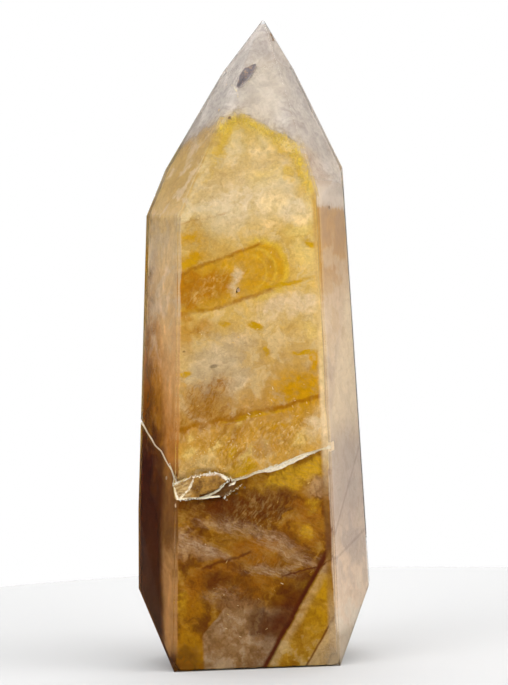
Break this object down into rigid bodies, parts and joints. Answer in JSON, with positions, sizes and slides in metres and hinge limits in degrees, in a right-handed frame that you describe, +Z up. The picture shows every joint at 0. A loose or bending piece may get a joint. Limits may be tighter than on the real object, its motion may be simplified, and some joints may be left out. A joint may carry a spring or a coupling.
{
  "type": "golden healer quartz tower",
  "caption": "Polished quartz point with an irregular faceted column, a faceted tip, a surface crack with a chipped hollow, and a flat foot to stand on.",
  "frame": {"origin": "bottom centre of the stone's box, on the flat foot", "axes": "+Z up along the column to the point, +Y from the front facet to the back, +X to the right seen from the front"},
  "size_m": [0.0456, 0.033, 0.1251],
  "materials": {
    "golden_quartz": "polished clear to milky quartz with golden iron-stained veils inside"
  },
  "bodies": {
    "root": {"quartz_tower": "golden_quartz"}
  },
  "joints": []
}
